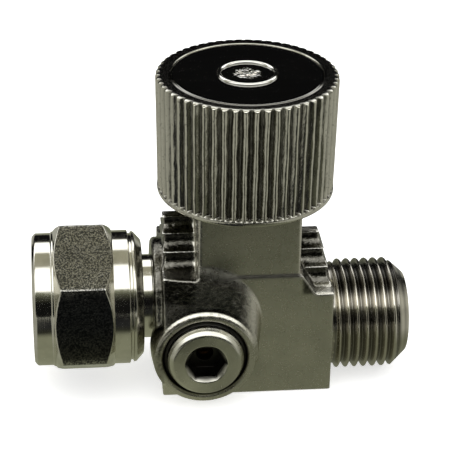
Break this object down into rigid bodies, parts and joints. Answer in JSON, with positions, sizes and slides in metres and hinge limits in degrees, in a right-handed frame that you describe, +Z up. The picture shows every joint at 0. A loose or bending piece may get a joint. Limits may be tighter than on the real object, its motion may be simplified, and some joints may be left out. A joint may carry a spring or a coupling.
{
  "type": "needle valve",
  "caption": "Nickel-plated needle valve with ribbed handwheel, threaded inlet end, swivel union nut on the outlet nipple and a hexagon-socket safety plug.",
  "frame": {"origin": "centre of the inlet thread's shoulder, on the inlet thread's axis", "axes": "+X along the inlet thread towards its free end, +Z up along the spindle, -Y towards the safety plug"},
  "size_m": [0.0734, 0.0345, 0.0638],
  "materials": {
    "body_nickel": "satin nickel plate on forged brass",
    "handwheel_nickel": "bright nickel plate on ribbed brass",
    "nut_nickel": "bright nickel plate on turned brass, grained flats",
    "turned_nickel": "bright nickel plate on turned brass",
    "plug_nickel": "nickel plate on turned brass",
    "mirror_disc": "dark mirror",
    "ring_chrome": "polished",
    "bare_brass": "turned",
    "seat_brass": "turned and lapped",
    "steel": "ground stainless steel",
    "spring_steel": "spring steel",
    "disc_copper": "rolled copper foil",
    "sintered_bronze": "sintered bronze",
    "ptfe": "white PTFE",
    "black_rubber": "nitrile rubber"
  },
  "bodies": {
    "body": {"valve_body": "body_nickel", "seat_insert": "seat_brass", "packing_seat_washer": "bare_brass", "packing": "ptfe", "gland_washer": "bare_brass", "gland_nut": "turned_nickel", "spindle_oring": "black_rubber", "nipple": "turned_nickel", "nipple_gasket": "ptfe", "nose_washer": "ptfe", "relief_plug": "plug_nickel", "disc_holder": "bare_brass", "burst_disc": "disc_copper", "disc_gasket": "ptfe", "filter_disc": "sintered_bronze", "filter_ring": "steel"},
    "needle": {"needle": "steel"},
    "handwheel": {"handwheel": "handwheel_nickel", "handwheel_washer": "spring_steel", "handwheel_screw": "steel", "handwheel_cap": "mirror_disc", "cap_ring": "ring_chrome", "spindle": "bare_brass", "needle_clip": "spring_steel"},
    "retaining_ring": {"nut_retaining_ring": "spring_steel"},
    "union_nut": {"union_nut": "nut_nickel"}
  },
  "joints": [
    {"name": "needle_lift", "type": "slide", "parent": "body", "child": "needle", "axis": [0, 0, 1], "range_m": [0, 0.0025]},
    {"name": "handwheel_turn", "type": "hinge", "parent": "needle", "child": "handwheel", "pos_m": [-0.0165, 0, 0.04], "axis": [0, 0, 1], "range_deg": [0, 900]},
    {"name": "nut_slide", "type": "slide", "parent": "body", "child": "retaining_ring", "axis": [1, 0, 0], "range_m": [0, 0.0004]},
    {"name": "nut_spin", "type": "hinge", "parent": "retaining_ring", "child": "union_nut", "pos_m": [-0.047, 0, 0.0055], "axis": [1, 0, 0], "continuous": true}
  ],
  "couplings": [
    {"joint": "handwheel_turn", "follows": "needle_lift", "rad_per_m": 6283.2}
  ]
}
